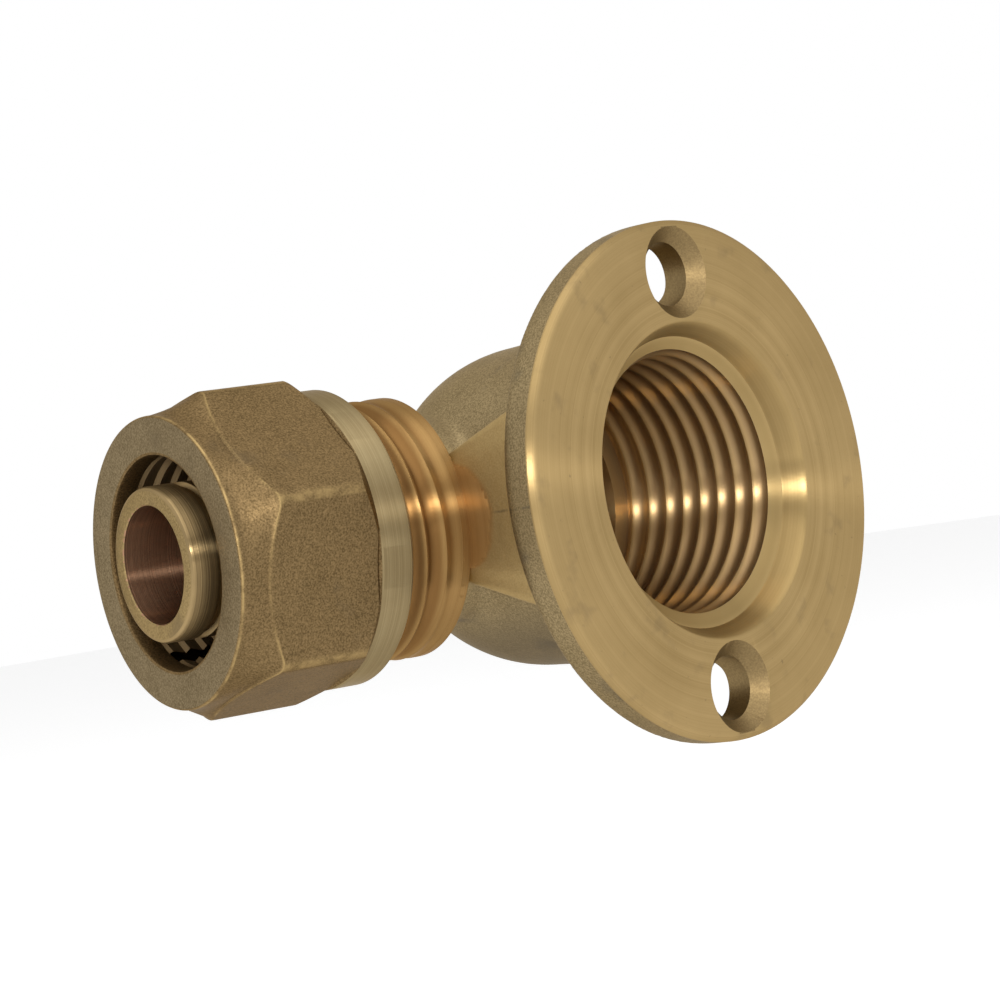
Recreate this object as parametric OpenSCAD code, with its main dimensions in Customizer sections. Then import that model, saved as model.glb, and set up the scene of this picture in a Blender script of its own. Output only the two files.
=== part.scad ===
// Flanged brass elbow: a threaded port in a round wall flange, and an arm with a compression joint for pipe.
// Origin at the centre of the mounting (back) face of the flange. The port faces -Y, the forging lies behind
// the flange on +Y, the screw holes stand one above the other along Z, and the pipe arm runs towards -X.

/* [Flange] */
// Diameter of the flange
flange_d = 40.6; // [36:0.2:50]
// Thickness of the flange
flange_t = 3.2; // [2.4:0.1:6]
// Chamfer round the front edge
face_chamfer = 0.6; // [0.2:0.1:1.2]
// Rounding of the forged back edge
back_round = 0.8; // [0.2:0.1:1]
// Distance between the two screw holes
screw_pitch = 32.4; // [30.5:0.2:34]
// Diameter of a screw hole
screw_d = 5; // [3:0.1:5.6]
// Diameter of the countersink at the front face
screw_head_d = 7.2; // [6:0.1:7.4]
// Angle of the countersink
screw_head_angle = 90; // [70:1:110]

/* [Threaded port] */
// Outside diameter of the port's thread
port_thread_d = 20.96; // [18:0.02:21.2]
// Length of the threaded bore, from the front face
port_depth = 17.2; // [14:0.1:20]
// Diameter of the flared mouth at the front face
mouth_d = 24.5; // [23:0.1:26]
// Diameter of the flare's inner edge
mouth_inner_d = 22.8; // [21.6:0.1:22.9]
// Depth of the flare's inner edge
mouth_depth = 1.8; // [0.6:0.1:2.2]
// Depth over which the flare's inner edge runs down to the thread
mouth_run_in = 0.6; // [0.3:0.1:1]
// Diameter of the plain chamber behind the thread
chamber_d = 17.6; // [14:0.1:18]
// Full depth of the chamber, from the front face
chamber_depth = 23.4; // [21:0.1:24.5]

/* [Forged boss and web] */
// Diameter of the boss where its round end begins
boss_d = 25.8; // [25:0.2:29]
// Draft of the boss towards the flange, in degrees
boss_draft = 3; // [0:0.5:4]
// Radius of the fillet between boss and flange
boss_fillet = 1.6; // [0.5:0.1:2.2]
// Depth of the pipe arm's axis behind the front face
arm_depth = 16.9; // [16.5:0.1:19]
// Lean of the pipe arm away from the flange, in degrees
arm_lean = 13.5; // [0:0.1:15]
// How far the web between flange and arm stands out from the port's axis, at the flange
web_reach = 18.2; // [17:0.1:19]
// Slant of the web's outer face, in degrees
web_slant = 9; // [4:0.5:12]
// Width of the web at the flange
web_foot_w = 17.6; // [14:0.2:20]
// How far the web rises behind the flange, into the arm
web_rise = 12; // [10:0.2:13]
// Width of the web there
web_top_w = 8; // [6:0.2:10]
// Draft of the web's outer face from the mid-plane, in degrees
web_draft = 8; // [2:1:12]

/* [Turned arm] */
// Wall of the arm between the pipe's socket and its thread's crests
arm_wall = 2; // [1.8:0.05:2.3]
// Pitch of the arm's thread
arm_pitch = 1.814; // [1:0.001:2]
// Depth of the arm's thread
arm_thread_h = 1; // [0.6:0.05:1.2]
// Where the thread's first crest begins, along the arm
arm_thread_from = 14.7; // [14.4:0.1:16]
// Where the collar before it begins, along the arm
collar_from = 14.1; // [13.6:0.1:14.4]
// Chamfer at the back edge of the collar
collar_chamfer = 0.35; // [0.1:0.05:0.6]
// How much thinner the neck behind the collar is, all round
neck_drop = 2.2; // [1.6:0.1:2.6]
// Where the neck begins to widen into the collar, along the arm
neck_to = 12.8; // [12:0.1:13.4]
// Where the lathe's shoulder in the web meets the collar's diameter, along the arm
shoulder_at = 13.3; // [12.8:0.1:13.8]
// How far that shoulder reaches out over the collar
shoulder_h = 2.7; // [2:0.1:3.2]
// How far the shoulder leans towards the open end on its way out
shoulder_run = 1.1; // [0.4:0.1:1.6]
// Length of the arm, from the port's axis to its open end
arm_end = 25.2; // [24:0.1:26]
// Chamfer at the start of the arm's thread
arm_chamfer = 0.8; // [0.3:0.1:1]

/* [Pipe joint] */
// Outside diameter of the pipe that the joint takes
pipe_d = 16; // [14:0.1:20]
// Wall of that pipe
pipe_wall = 2; // [1.6:0.1:2.4]
// Gap round the pipe in the arm's socket
socket_gap = 0.2; // [0.1:0.05:0.4]
// Gap round the pipe in the nut and in the ring
pipe_gap = 0.15; // [0.1:0.05:0.3]
// Gap between the stem and the inside of the pipe
stem_gap = 0.08; // [0.04:0.01:0.2]
// Depth of the socket, from the arm's open end
socket_depth = 7.6; // [6:0.1:8.4]
// Bevel at the socket's mouth
socket_bevel = 0.6; // [0.3:0.1:0.9]

/* [Pipe stem] */
// Wall of the stem
stem_wall = 1.42; // [1.4:0.02:2]
// Chamfer at the mouth of the waterway
waterway_chamfer = 0.2; // [0.1:0.05:0.4]
// How far the stem stands out of the arm's open end
stem_reach = 11.1; // [9:0.1:13]
// Rounding of the stem's end
stem_edge = 0.15; // [0.05:0.05:0.3]
// Length of the plain nose at the stem's end
nose_length = 2.2; // [1.5:0.1:3]
// Width of the groove behind the nose
nose_groove_w = 0.9; // [0.4:0.1:1.4]
// Depth of the groove behind the nose
nose_groove_h = 0.35; // [0.1:0.05:0.5]
// How far behind the stem's end the two seal rings lie
seal_places = [8.1, 11.9];
// Thickness of a seal ring's cord
seal_cord_d = 1; // [0.8:0.05:1.1]
// How far a seal ring stands out of its groove
seal_proud = 0.22; // [0.1:0.02:0.3]
// Spare width of a seal groove beside its ring
seal_side_gap = 0.15; // [0.05:0.05:0.3]
// Gap under a seal ring at rest
seal_floor_gap = 0.02; // [0.01:0.01:0.05]

/* [Foot washer] */
// Thickness of the insulating washer on the socket's floor
washer_t = 1; // [0.6:0.1:1.6]
// Gap between the washer and the walls beside it
washer_gap = 0.1; // [0.05:0.05:0.2]

/* [Nut] */
// Length of the nut
nut_length = 14.9; // [14:0.1:16]
// Wall of the nut between its thread and its flats
nut_wall = 0.9; // [0.8:0.05:1.5]
// How far the nut's corners are cut back
nut_corner_cut = 0.25; // [0.1:0.05:0.5]
// Turn of the hexagon about the arm, in degrees
nut_turn = -14.7; // [-30:0.1:30]
// Width of the flat ring of the nut's front face
nut_face_w = 3; // [2.4:0.05:3.1]
// Rounding of the nut's front edges
nut_edge = 0.25; // [0.1:0.05:0.4]
// Length of the tapered nose of the nut
nut_nose = 2.7; // [1.6:0.1:3.4]
// Length of the turned skirt behind the hexagon
skirt_length = 2.9; // [2:0.1:4]
// Wall of the skirt round the thread
skirt_wall = 1.2; // [0.8:0.05:1.6]
// Bevel at the skirt's back edge
skirt_bevel = 0.3; // [0.1:0.05:0.5]
// Length of the turned bevel at the back of the hexagon's corners
hex_bevel = 0.9; // [0.4:0.1:1.4]
// Length of the hole for the pipe
pipe_hole_length = 1.7; // [1.2:0.1:2]
// Radial gap between the nut and the arm's thread
thread_gap = 0.1; // [0.05:0.01:0.15]
// Bevel at the start of the nut's thread
nut_thread_bevel = 0.4; // [0.2:0.05:0.6]
// Length of the nut's threaded bore, from its skirt
nut_thread_length = 6.8; // [6:0.1:7.4]

/* [Split ring] */
// Gap between the arm's open end and the loose ring
ring_lead = 0.85; // [0.65:0.05:1.5]
// Length of the ring
ring_length = 7.4; // [6.6:0.1:8]
// Wall of the ring in its thick middle
ring_wall = 1.45; // [1.3:0.05:1.6]
// How much thinner the ring's wall is at its front end
ring_front_drop = 0.7; // [0.4:0.05:0.9]
// How much thinner it is at its back end
ring_back_drop = 0.8; // [0.4:0.05:1]
// Length of the long taper in front
ring_taper = 3.2; // [2:0.1:3.8]
// Length of the short taper behind
ring_back_taper = 1.4; // [0.8:0.1:2]
// Number of grip ridges in the bore
ridges = 4; // [2:1:6]
// Height of a grip ridge
ridge_h = 0.35; // [0.2:0.05:0.45]
// Plain length in front of the first ridge
ridge_start = 0.3; // [0.1:0.05:0.6]
// Width of the slit
slit_w = 1.4; // [0.6:0.1:3]
// Direction of the slit about the arm, in degrees
slit_turn = 150; // [0:5:355]
// Gap between the ring and the nut round it
ring_gap = 0.15; // [0.1:0.05:0.25]

/* [Hidden] */
$fn = 96;
// Cutters run past the faces that they open by this much
past = 1;
tiny = 0.01;
// Thickness of the thin slabs that a hull is stretched between
slab = 0.1;
flange_r = flange_d / 2;
face_y = -flange_t;
boss_r = boss_d / 2;
axis_y = arm_depth - flange_t;
boss_foot_r = boss_r + tan(boss_draft) * axis_y;
web_edge = tan(web_draft) * web_foot_w / 2;
port_r = port_thread_d / 2;
chamber_r = chamber_d / 2;
// A drill leaves a cone of this slope on the chamber's floor
drill_slope = 0.6;
socket_r = pipe_d / 2 + socket_gap;
socket_floor = arm_end - socket_depth;
arm_r = socket_r + arm_wall;
neck_r = arm_r - neck_drop;
// Shares of the pitch that a thread's flat crest and each of its flanks take up
crest_share = 0.2;
flank_share = 0.3;
thread_turns = floor((arm_end - arm_chamfer - arm_thread_from) / arm_pitch);
// One turn of the thread as [depth, share of the pitch] points
thread_ring = [
    [0, 0], [0, crest_share], [arm_thread_h, crest_share + flank_share], [arm_thread_h, 1 - flank_share]
];
stem_r = pipe_d / 2 - pipe_wall - stem_gap;
stem_end = arm_end + stem_reach;
waterway_r = stem_r - stem_wall;
seal_cord_r = seal_cord_d / 2;
seal_r = stem_r + seal_proud - seal_cord_r;
seal_floor_r = seal_r - seal_cord_r - seal_floor_gap;
seal_groove_w = seal_cord_d + 2 * seal_side_gap;
pipe_hole_r = pipe_d / 2 + pipe_gap;
ring_r = pipe_hole_r + ring_wall;
ring_from = arm_end + ring_lead;
ring_to = ring_from + ring_length;
ring_mid_to = ring_to - ring_taper;
ring_mid_from = ring_from + ring_back_taper;
ridge_step = (ring_length - ring_back_taper) / ridges;
// Share of that step over which a ridge falls back
ridge_back = 0.8;
// The ring's front end rests against the floor round the pipe hole
pipe_hole_from = ring_to + ring_gap;
nut_front = pipe_hole_from + pipe_hole_length;
nut_bore_r = arm_r + thread_gap;
nut_flat_r = nut_bore_r + nut_wall;
nut_corner_r = nut_flat_r / cos(30) - nut_corner_cut;
nut_face_r = pipe_hole_r + nut_face_w;
// Half the angle that a softened corner takes up
corner_half = 30 - acos(nut_flat_r / nut_corner_r);
skirt_r = nut_bore_r + skirt_wall;
skirt_from = nut_front - nut_length;
hex_from = skirt_from + skirt_length;
hex_to = nut_front - nut_nose;
nut_thread_to = skirt_from + nut_thread_length;

// Stands what is drawn along +Z on the port's axis, pointing at +Y
module along_port(y = 0) translate([0, y, 0]) rotate([-90, 0, 0]) children();

// Stands what is drawn along +Z on the pipe arm's axis, with distances measured from the port's axis
module along_arm() translate([0, axis_y, 0]) rotate([0, 0, -arm_lean]) rotate([0, -90, 0]) children();

// Revolves a profile of [radius, place] points
module turned(points) rotate_extrude() polygon(points);

// Two copies, one above the other, at the screw holes
module at_screws() for (side = [-1, 1]) translate([0, 0, side * screw_pitch / 2]) children();

module flange() along_port() difference() {
    turned([
        [0, -flange_t], [flange_r - face_chamfer, -flange_t], [flange_r, -flange_t + face_chamfer],
        [flange_r, 0], [0, 0]
    ]);
    rotate_extrude() difference() {
        translate([flange_r - back_round, -back_round]) square(back_round + tiny);
        translate([flange_r - back_round, -back_round]) circle(back_round);
    }
}

// The forged boss: a drafted barrel with a round end, and a fillet at its foot
module boss() {
    along_port() turned([[0, -tiny], [boss_foot_r, -tiny], [boss_r, axis_y], [0, axis_y]]);
    translate([0, axis_y, 0]) sphere(boss_r);
    along_port() rotate_extrude() difference() {
        translate([boss_foot_r - 1, -tiny]) square([boss_fillet + 1, boss_fillet]);
        translate([boss_foot_r + boss_fillet, boss_fillet]) circle(boss_fillet);
    }
}

// The web that fills the corner between flange and arm. Its sides run together towards the arm, and its outer
// face slants, with draft to both sides of the mid-plane
module web() intersection() {
    rotate([0, -90, 0]) linear_extrude(web_reach + past) polygon([
        [-web_foot_w / 2, -flange_t / 2], [web_foot_w / 2, -flange_t / 2], [web_foot_w / 2, 0],
        [web_top_w / 2, web_rise], [-web_top_w / 2, web_rise], [-web_foot_w / 2, 0]
    ]);
    translate([-web_reach, 0, 0]) rotate([0, 0, -web_slant]) rotate([-90, 0, 0])
        translate([0, 0, -past]) linear_extrude(2 * web_rise) polygon([
            [0, 0], [web_edge, web_foot_w / 2], [web_reach, web_foot_w / 2],
            [web_reach, -web_foot_w / 2], [web_edge, -web_foot_w / 2]
        ]);
}

// What the lathe takes out of the web as it turns the collar, as far as its shoulder
module shoulder_cut() along_arm() turned([
    [arm_r, shoulder_at], [arm_r + shoulder_h, shoulder_at + shoulder_run],
    [arm_r + shoulder_h, arm_thread_from + past], [arm_r, arm_thread_from + past]
]);

// The neck, the collar and the thread, drawn as rings without the helix
module arm_outside() along_arm() turned(concat(
    [[0, 0], [neck_r, 0], [neck_r, neck_to], [arm_r - collar_chamfer, collar_from],
     [arm_r, collar_from + collar_chamfer]],
    [for (i = [0 : thread_turns - 1], p = thread_ring)
        [arm_r - p[0], arm_thread_from + (i + p[1]) * arm_pitch]],
    [[arm_r, arm_thread_from + thread_turns * arm_pitch], [arm_r, arm_end - arm_chamfer],
     [arm_r - arm_chamfer, arm_end], [0, arm_end]]
));

module stem_outside() along_arm() turned([
    [0, 0], [stem_r, 0], [stem_r, stem_end - nose_length - nose_groove_w],
    [stem_r - nose_groove_h, stem_end - nose_length - nose_groove_w],
    [stem_r - nose_groove_h, stem_end - nose_length], [stem_r, stem_end - nose_length],
    [stem_r, stem_end - stem_edge], [stem_r - stem_edge, stem_end], [0, stem_end]
]);

module port_bore() along_port(face_y) turned([
    [0, -past], [mouth_d / 2, -past], [mouth_d / 2, 0], [mouth_inner_d / 2, mouth_depth],
    [port_r, mouth_depth + mouth_run_in], [port_r, port_depth], [chamber_r, port_depth],
    [chamber_r, chamber_depth - drill_slope * chamber_r / 2], [chamber_r / 2, chamber_depth],
    [0, chamber_depth]
]);

module waterway() along_arm() turned([
    [0, 0], [waterway_r, 0], [waterway_r, stem_end - waterway_chamfer],
    [waterway_r + waterway_chamfer, stem_end], [waterway_r + waterway_chamfer, stem_end + past],
    [0, stem_end + past]
]);

module pipe_socket() along_arm() turned([
    [stem_r, socket_floor], [socket_r, socket_floor], [socket_r, arm_end - socket_bevel],
    [socket_r + socket_bevel, arm_end], [socket_r + socket_bevel, arm_end + past], [stem_r, arm_end + past]
]);

module seal_grooves() along_arm() for (place = seal_places) translate([0, 0, stem_end - place]) turned([
    [seal_floor_r, -seal_groove_w / 2], [stem_r + tiny, -seal_groove_w / 2],
    [stem_r + tiny, seal_groove_w / 2], [seal_floor_r, seal_groove_w / 2]
]);

module screw_holes() {
    head_depth = (screw_head_d - screw_d) / 2 / tan(screw_head_angle / 2);
    at_screws() along_port() turned([
        [0, -flange_t - past], [screw_head_d / 2, -flange_t - past], [screw_head_d / 2, -flange_t],
        [screw_d / 2, -flange_t + head_depth], [screw_d / 2, past], [0, past]
    ]);
}

// The one-piece brass body: flange, boss, threaded arm and pipe stem
module body() color("darkgoldenrod") difference() {
    union() {
        difference() {
            union() {
                flange();
                boss();
                web();
            }
            shoulder_cut();
        }
        arm_outside();
        stem_outside();
    }
    port_bore();
    waterway();
    pipe_socket();
    seal_grooves();
    screw_holes();
}

// Outline of the hexagonal bar: each corner is softened by two short facets
module soft_hex() polygon([
    for (corner = [0 : 60 : 300], side = [-1, 0, 1])
        let (turn = nut_turn + corner + side * corner_half) nut_corner_r * [cos(turn), sin(turn)]
]);

// The hexagon's straight length, its corners bevelled at the back by the tool that turns the skirt
module nut_hexagon() difference() {
    translate([0, 0, hex_from]) linear_extrude(hex_to - hex_from) soft_hex();
    turned([
        [skirt_r, hex_from - past], [skirt_r, hex_from], [nut_corner_r + past, hex_from + hex_bevel + past],
        [nut_corner_r + past, hex_from - past]
    ]);
}

// The nut's nose goes from the hexagon to its round front face
module nut_nose_form() hull() {
    translate([0, 0, hex_to - 2 * slab]) linear_extrude(2 * slab) soft_hex();
    translate([0, 0, nut_front - nut_edge - slab]) linear_extrude(slab) circle(nut_face_r, $fn = 72);
    translate([0, 0, nut_front - slab]) linear_extrude(slab) circle(nut_face_r - nut_edge, $fn = 72);
}

module nut_skirt() turned([
    [nut_bore_r, skirt_from], [skirt_r - skirt_bevel, skirt_from], [skirt_r, skirt_from + skirt_bevel],
    [skirt_r, hex_from], [nut_bore_r, hex_from]
]);

// The nut's thread bore, the room for the ring, and the hole for the pipe
module nut_bore() turned([
    [0, skirt_from - past], [nut_bore_r + nut_thread_bevel, skirt_from - past],
    [nut_bore_r + nut_thread_bevel, skirt_from], [nut_bore_r, skirt_from + nut_thread_bevel],
    [nut_bore_r, nut_thread_to], [ring_r + ring_gap, nut_thread_to], [ring_r + ring_gap, ring_mid_to],
    [ring_r - ring_front_drop + ring_gap, pipe_hole_from], [pipe_hole_r, pipe_hole_from],
    [pipe_hole_r, nut_front - nut_edge], [pipe_hole_r + nut_edge, nut_front],
    [pipe_hole_r + nut_edge, nut_front + past], [0, nut_front + past]
]);

module nut() color("peru") along_arm() difference() {
    union() {
        nut_hexagon();
        nut_nose_form();
        nut_skirt();
    }
    nut_bore();
}

// The split grip ring, tapered at both ends and ridged inside
module split_ring() color("gold") along_arm() difference() {
    turned(concat(
        [[pipe_hole_r + ridge_h, ring_from], [ring_r - ring_back_drop, ring_from], [ring_r, ring_mid_from],
         [ring_r, ring_mid_to], [ring_r - ring_front_drop, ring_to], [pipe_hole_r + ridge_h / 2, ring_to]],
        [for (i = [0 : ridges - 1], step = [0, 1])
            [pipe_hole_r + step * ridge_h, ring_to - ridge_start - (i + step * ridge_back) * ridge_step]]
    ));
    rotate([0, 0, slit_turn]) translate([0, -slit_w / 2, ring_from - past])
        cube([ring_r + past, slit_w, ring_length + 2 * past]);
}

// One rubber seal ring, lying in its groove of the stem
module o_ring(place) color("#262626") along_arm()
    translate([0, 0, stem_end - place]) rotate_extrude() translate([seal_r, 0]) circle(seal_cord_r);

module o_ring_outer() o_ring(seal_places[0]);
module o_ring_inner() o_ring(seal_places[1]);

module insulating_washer() color("white") along_arm() difference() {
    translate([0, 0, socket_floor]) cylinder(h = washer_t, r = socket_r - washer_gap);
    translate([0, 0, socket_floor - past]) cylinder(h = washer_t + 2 * past, r = stem_r + washer_gap);
}

body();
nut();
split_ring();
o_ring_outer();
o_ring_inner();
insulating_washer();
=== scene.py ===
"""Looks of the flanged brass elbow: forged body with its machined faces and threads, nut, split ring and seals."""

import math

import bmesh
import bpy
import numpy as np
from mathutils import Matrix, Vector


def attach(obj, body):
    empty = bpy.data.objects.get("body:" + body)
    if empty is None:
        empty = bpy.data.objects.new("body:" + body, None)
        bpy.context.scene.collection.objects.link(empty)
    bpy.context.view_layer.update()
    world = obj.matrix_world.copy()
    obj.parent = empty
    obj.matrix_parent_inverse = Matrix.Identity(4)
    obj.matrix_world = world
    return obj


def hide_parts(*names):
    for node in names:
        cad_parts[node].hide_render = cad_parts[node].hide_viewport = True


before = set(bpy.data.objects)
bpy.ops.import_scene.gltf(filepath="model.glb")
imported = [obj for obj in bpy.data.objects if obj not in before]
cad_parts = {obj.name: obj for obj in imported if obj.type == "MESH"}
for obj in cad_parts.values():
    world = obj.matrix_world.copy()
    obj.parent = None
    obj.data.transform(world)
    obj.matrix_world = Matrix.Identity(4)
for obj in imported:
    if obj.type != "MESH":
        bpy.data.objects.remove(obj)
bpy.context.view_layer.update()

# Sizes in millimetres, as in the part's source
MM = 0.001
FLANGE_R = 20.3
FLANGE_T = 3.2
FACE_CHAMFER = 0.6
BACK_ROUND = 0.8
SCREW_PITCH = 32.4
SCREW_R = 2.5
SCREW_HEAD_R = 3.6
PORT_R = 10.48
PORT_DEPTH = 17.2
MOUTH_R = 12.25
MOUTH_INNER_R = 11.4
MOUTH_DEPTH = 1.8
MOUTH_BEVEL_SLOPE = 1.58
CHAMBER_R = 8.8
CHAMBER_DEPTH = 23.4
DRILL_SLOPE = 0.6
BOSS_R = 12.9
BOSS_DRAFT = math.radians(3)
BOSS_FILLET = 1.6
ARM_DEPTH = 16.9
ARM_LEAN = math.radians(13.5)
WEB_REACH = 16.95
WEB_CROWN = 1.3
WEB_FOOT_W = 17.6
WEB_RISE = 12.0
WEB_TOP_W = 8.0
ARM_R = 10.2
NECK_R = 8.0
NECK_TO = 12.8
COLLAR_FROM = 14.5
COLLAR_TO = 15.3
SHOULDER_SLOPE = 0.06
SHOULDER_H = 3.4
ARM_END = 25.2
ARM_CHAMFER = 0.8
SOCKET_R = 8.2
SOCKET_FLOOR = 17.6
SOCKET_BEVEL = 0.6
STEM_R = 5.92
STEM_END = 36.3
STEM_EDGE = 0.32
NOSE_LENGTH = 2.2
NOSE_GROOVE_W = 0.9
NOSE_GROOVE_H = 0.35
SEAL_PLACES = (24.4, 28.2)
SEAL_FLOOR_R = 5.12
SEAL_GROOVE_W = 1.3
WATERWAY_R = 4.5
WATERWAY_CHAMFER = 0.08
PITCH = 1.814
# The arm's thread has worn, shallow grooves that run out over a stretch behind the collar
ARM_THREAD_H = 0.65
ARM_THREAD_FLATNESS = 0.6
ARM_RUN_OUT = 3.2
PORT_THREAD_H = 0.38
PORT_THREAD_FLATNESS = 0.6
# Where a crest of the arm's thread and of the port's thread crosses local angle zero
ARM_CREST = 15.35
PORT_CREST = 3.7

NUT_FLAT_R = 11.2
NUT_CORNER_ROUND = 1.5
NUT_TURN = math.radians(-14.7)
NUT_FRONT = 35.3
NUT_FACE_R = 11.15
NUT_EDGE = 0.25
NUT_SKIRT_FROM = 20.4
NUT_SKIRT_R = 11.5
NUT_SKIRT_BEVEL = 0.3
NUT_HEX_FROM = 23.3
NUT_BEVEL_SLOPE = 0.87
NUT_NOSE_AT_FLATS = 32.9
NUT_NOSE_AT_CORNERS = 31.8
NUT_NOSE_STEP = 0.14
NUT_BORE_R = 10.3
NUT_BORE_TO = 27.2
PIPE_HOLE_R = 8.15
PIPE_HOLE_FROM = 33.6
RING_ROOM_R = 9.75
RING_ROOM_TO = 30.25
RING_ROOM_END_R = 9.05

AXIS_Y = ARM_DEPTH - FLANGE_T
# Local +Z onto the port's axis (+Y), and onto the leaning pipe arm's axis
ALONG_PORT = Matrix.Rotation(math.radians(-90), 4, "X")
ALONG_FACE = Matrix.Translation((0, -FLANGE_T, 0)) @ ALONG_PORT
ALONG_ARM = (Matrix.Translation((0, AXIS_Y, 0)) @ Matrix.Rotation(-ARM_LEAN, 4, "Z")
             @ Matrix.Rotation(math.radians(-90), 4, "Y"))
ARM_AXIS = ALONG_ARM.to_3x3() @ Vector((0, 0, 1))
# Radius of the points that stand in for the axis itself
CORE = 0.01
# Cutters run past the faces that they open by this much
PAST = 1.0

# One turn of a rounded thread, from crest to crest: share of the pitch, and share of the depth below the crest
THREAD_FORM = (
    (0.0, 0.0), (0.07, 0.03), (0.13, 0.14), (0.24, 0.5), (0.35, 0.86), (0.42, 0.97),
    (0.5, 1.0), (0.58, 0.97), (0.65, 0.86), (0.76, 0.5), (0.87, 0.14), (0.93, 0.03),
)


def new_object(name, verts, faces, place=Matrix.Identity(4)):
    """A closed mesh object in the frame's metres, from points in millimetres."""
    mesh = bpy.data.meshes.new(name)
    mesh.from_pydata([tuple(v) for v in verts], [], faces)
    mesh.transform(Matrix.Scale(MM, 4) @ place)
    bm = bmesh.new()
    bm.from_mesh(mesh)
    bmesh.ops.recalc_face_normals(bm, faces=bm.faces)
    bm.to_mesh(mesh)
    bm.free()
    obj = bpy.data.objects.new(name, mesh)
    bpy.context.scene.collection.objects.link(obj)
    return obj


def grid_points(heights, radii):
    """Points of rows round local +Z, from a height and a radius for each row and column."""
    angle = np.linspace(0, 2 * np.pi, radii.shape[1], endpoint=False)
    return np.stack([radii * np.cos(angle), radii * np.sin(angle), heights], -1).reshape(-1, 3).tolist()


def solid_of_rows(name, heights, radii, place, ring=False):
    """A solid round local +Z from rows of points, capped at both ends, or closed on itself as a ring."""
    rows, cols = radii.shape
    heights = np.broadcast_to(np.asarray(heights, float).reshape(rows, -1), radii.shape)
    nxt = [(j + 1) % cols for j in range(cols)]
    last = rows if ring else rows - 1
    faces = [(i * cols + j, i * cols + nxt[j], (i + 1) % rows * cols + nxt[j], (i + 1) % rows * cols + j)
             for i in range(last) for j in range(cols)]
    if not ring:
        faces += [tuple(range(cols))[::-1], tuple((rows - 1) * cols + j for j in range(cols))]
    return new_object(name, grid_points(heights, radii), faces, place)


def turned(name, profile, place, cols=256, ring=False):
    """A solid of revolution from (radius, height) points."""
    r, z = np.array(profile, float).T
    return solid_of_rows(name, z, np.repeat(r[:, None], cols, 1), place, ring)


def threaded(name, start, turns, shape, place, cols=192):
    """A closed solid whose rows climb with a right-hand helix, so that the thread's edges follow them.

    shape(height, depth) gives the radius, from the height and from the share of the thread's depth.
    """
    share, depth = np.array(THREAD_FORM).T
    step = len(share)
    places = np.append((np.arange(turns)[:, None] + share).ravel(), turns)
    depth = np.append(np.tile(depth, turns), depth[0])
    heights = start + PITCH * (places[:, None] + np.arange(cols) / cols)
    verts = grid_points(heights, shape(heights, depth[:, None]))
    last = len(places) - 1
    faces = [(i * cols + j, i * cols + j + 1, (i + 1) * cols + j + 1, (i + 1) * cols + j)
             for i in range(last) for j in range(cols - 1)]
    # The last column meets the first one a turn further on
    edge = cols - 1
    faces += [(i * cols + edge, (i + step) * cols, (i + step + 1) * cols, (i + 1) * cols + edge)
              for i in range(last - step)]
    foot = list(range(cols)) + [i * cols for i in range(step, 0, -1)]
    head = [last * cols + j for j in range(cols)] + [i * cols + edge for i in range(last - 1, last - step - 1, -1)]
    for loop, height in ((foot[::-1], heights[0].mean()), (head, heights[-1].mean())):
        verts.append((0.0, 0.0, height))
        faces += [(loop[k - 1], loop[k], len(verts) - 1) for k in range(len(loop))]
    return new_object(name, verts, faces, place)


def arc(centre, radius, start, end, steps):
    """Points of an arc in a (radius, height) profile, from start to end in degrees."""
    a = np.radians(np.linspace(start, end, steps))
    return [(centre[0] + radius * math.cos(t), centre[1] + radius * math.sin(t)) for t in a]


def apply_modifiers(obj):
    obj.data = bpy.data.meshes.new_from_object(obj.evaluated_get(bpy.context.evaluated_depsgraph_get()))
    obj.modifiers.clear()


def boolean(target, cutter, operation):
    """Applies one boolean between two closed meshes and removes the second."""
    mod = target.modifiers.new("cut", "BOOLEAN")
    mod.object = cutter
    mod.operation = operation
    mod.solver = "MANIFOLD"
    apply_modifiers(target)
    bpy.data.objects.remove(cutter)


FORGING_STOCK = 1.0
FORGING_VOXEL = 0.31
FORGING_SOFTENING = 14


def flange_blank():
    """The flange as forged, with stock left on its front."""
    back = FLANGE_R - BACK_ROUND
    profile = [(CORE, -FLANGE_T - FORGING_STOCK), (FLANGE_R, -FLANGE_T - FORGING_STOCK)]
    profile += arc((back, -BACK_ROUND), BACK_ROUND, 0, 90, 8) + [(CORE, 0.0)]
    return turned("flange_blank", profile, ALONG_PORT, 192)


def boss_blank():
    """The drafted barrel with its round end, and the fillet at its foot."""
    foot = BOSS_R + math.tan(BOSS_DRAFT) * AXIS_Y
    profile = [(CORE, -PAST), (foot + BOSS_FILLET, -PAST)]
    profile += arc((foot + BOSS_FILLET, BOSS_FILLET), BOSS_FILLET, 270, 180, 8)
    profile += [(foot + (BOSS_R - foot) * t, BOSS_FILLET + (AXIS_Y - BOSS_FILLET) * t) for t in (0.3, 0.6)]
    profile += arc((0, AXIS_Y), BOSS_R, 0, 89, 24)
    return turned("boss_blank", profile, ALONG_PORT, 144)


def web_blank():
    """The web between flange and arm: narrower towards the arm, with a crowned outer face."""
    verts = []
    for y, width in ((-PAST, WEB_FOOT_W), (WEB_RISE, WEB_TOP_W)):
        rim = [(-WEB_REACH + WEB_CROWN * (2 * s) ** 2, y, s * width) for s in (-0.5, -0.35, -0.18, 0.0, 0.18, 0.35, 0.5)]
        verts += [(0, y, -width / 2)] + rim + [(0, y, width / 2)]
    side = len(verts) // 2
    faces = [tuple(range(side)), tuple(range(2 * side - 1, side - 1, -1))]
    faces += [(i, i + side, (i + 1) % side + side, (i + 1) % side) for i in range(side)]
    return new_object("web_blank", verts, faces)


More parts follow.
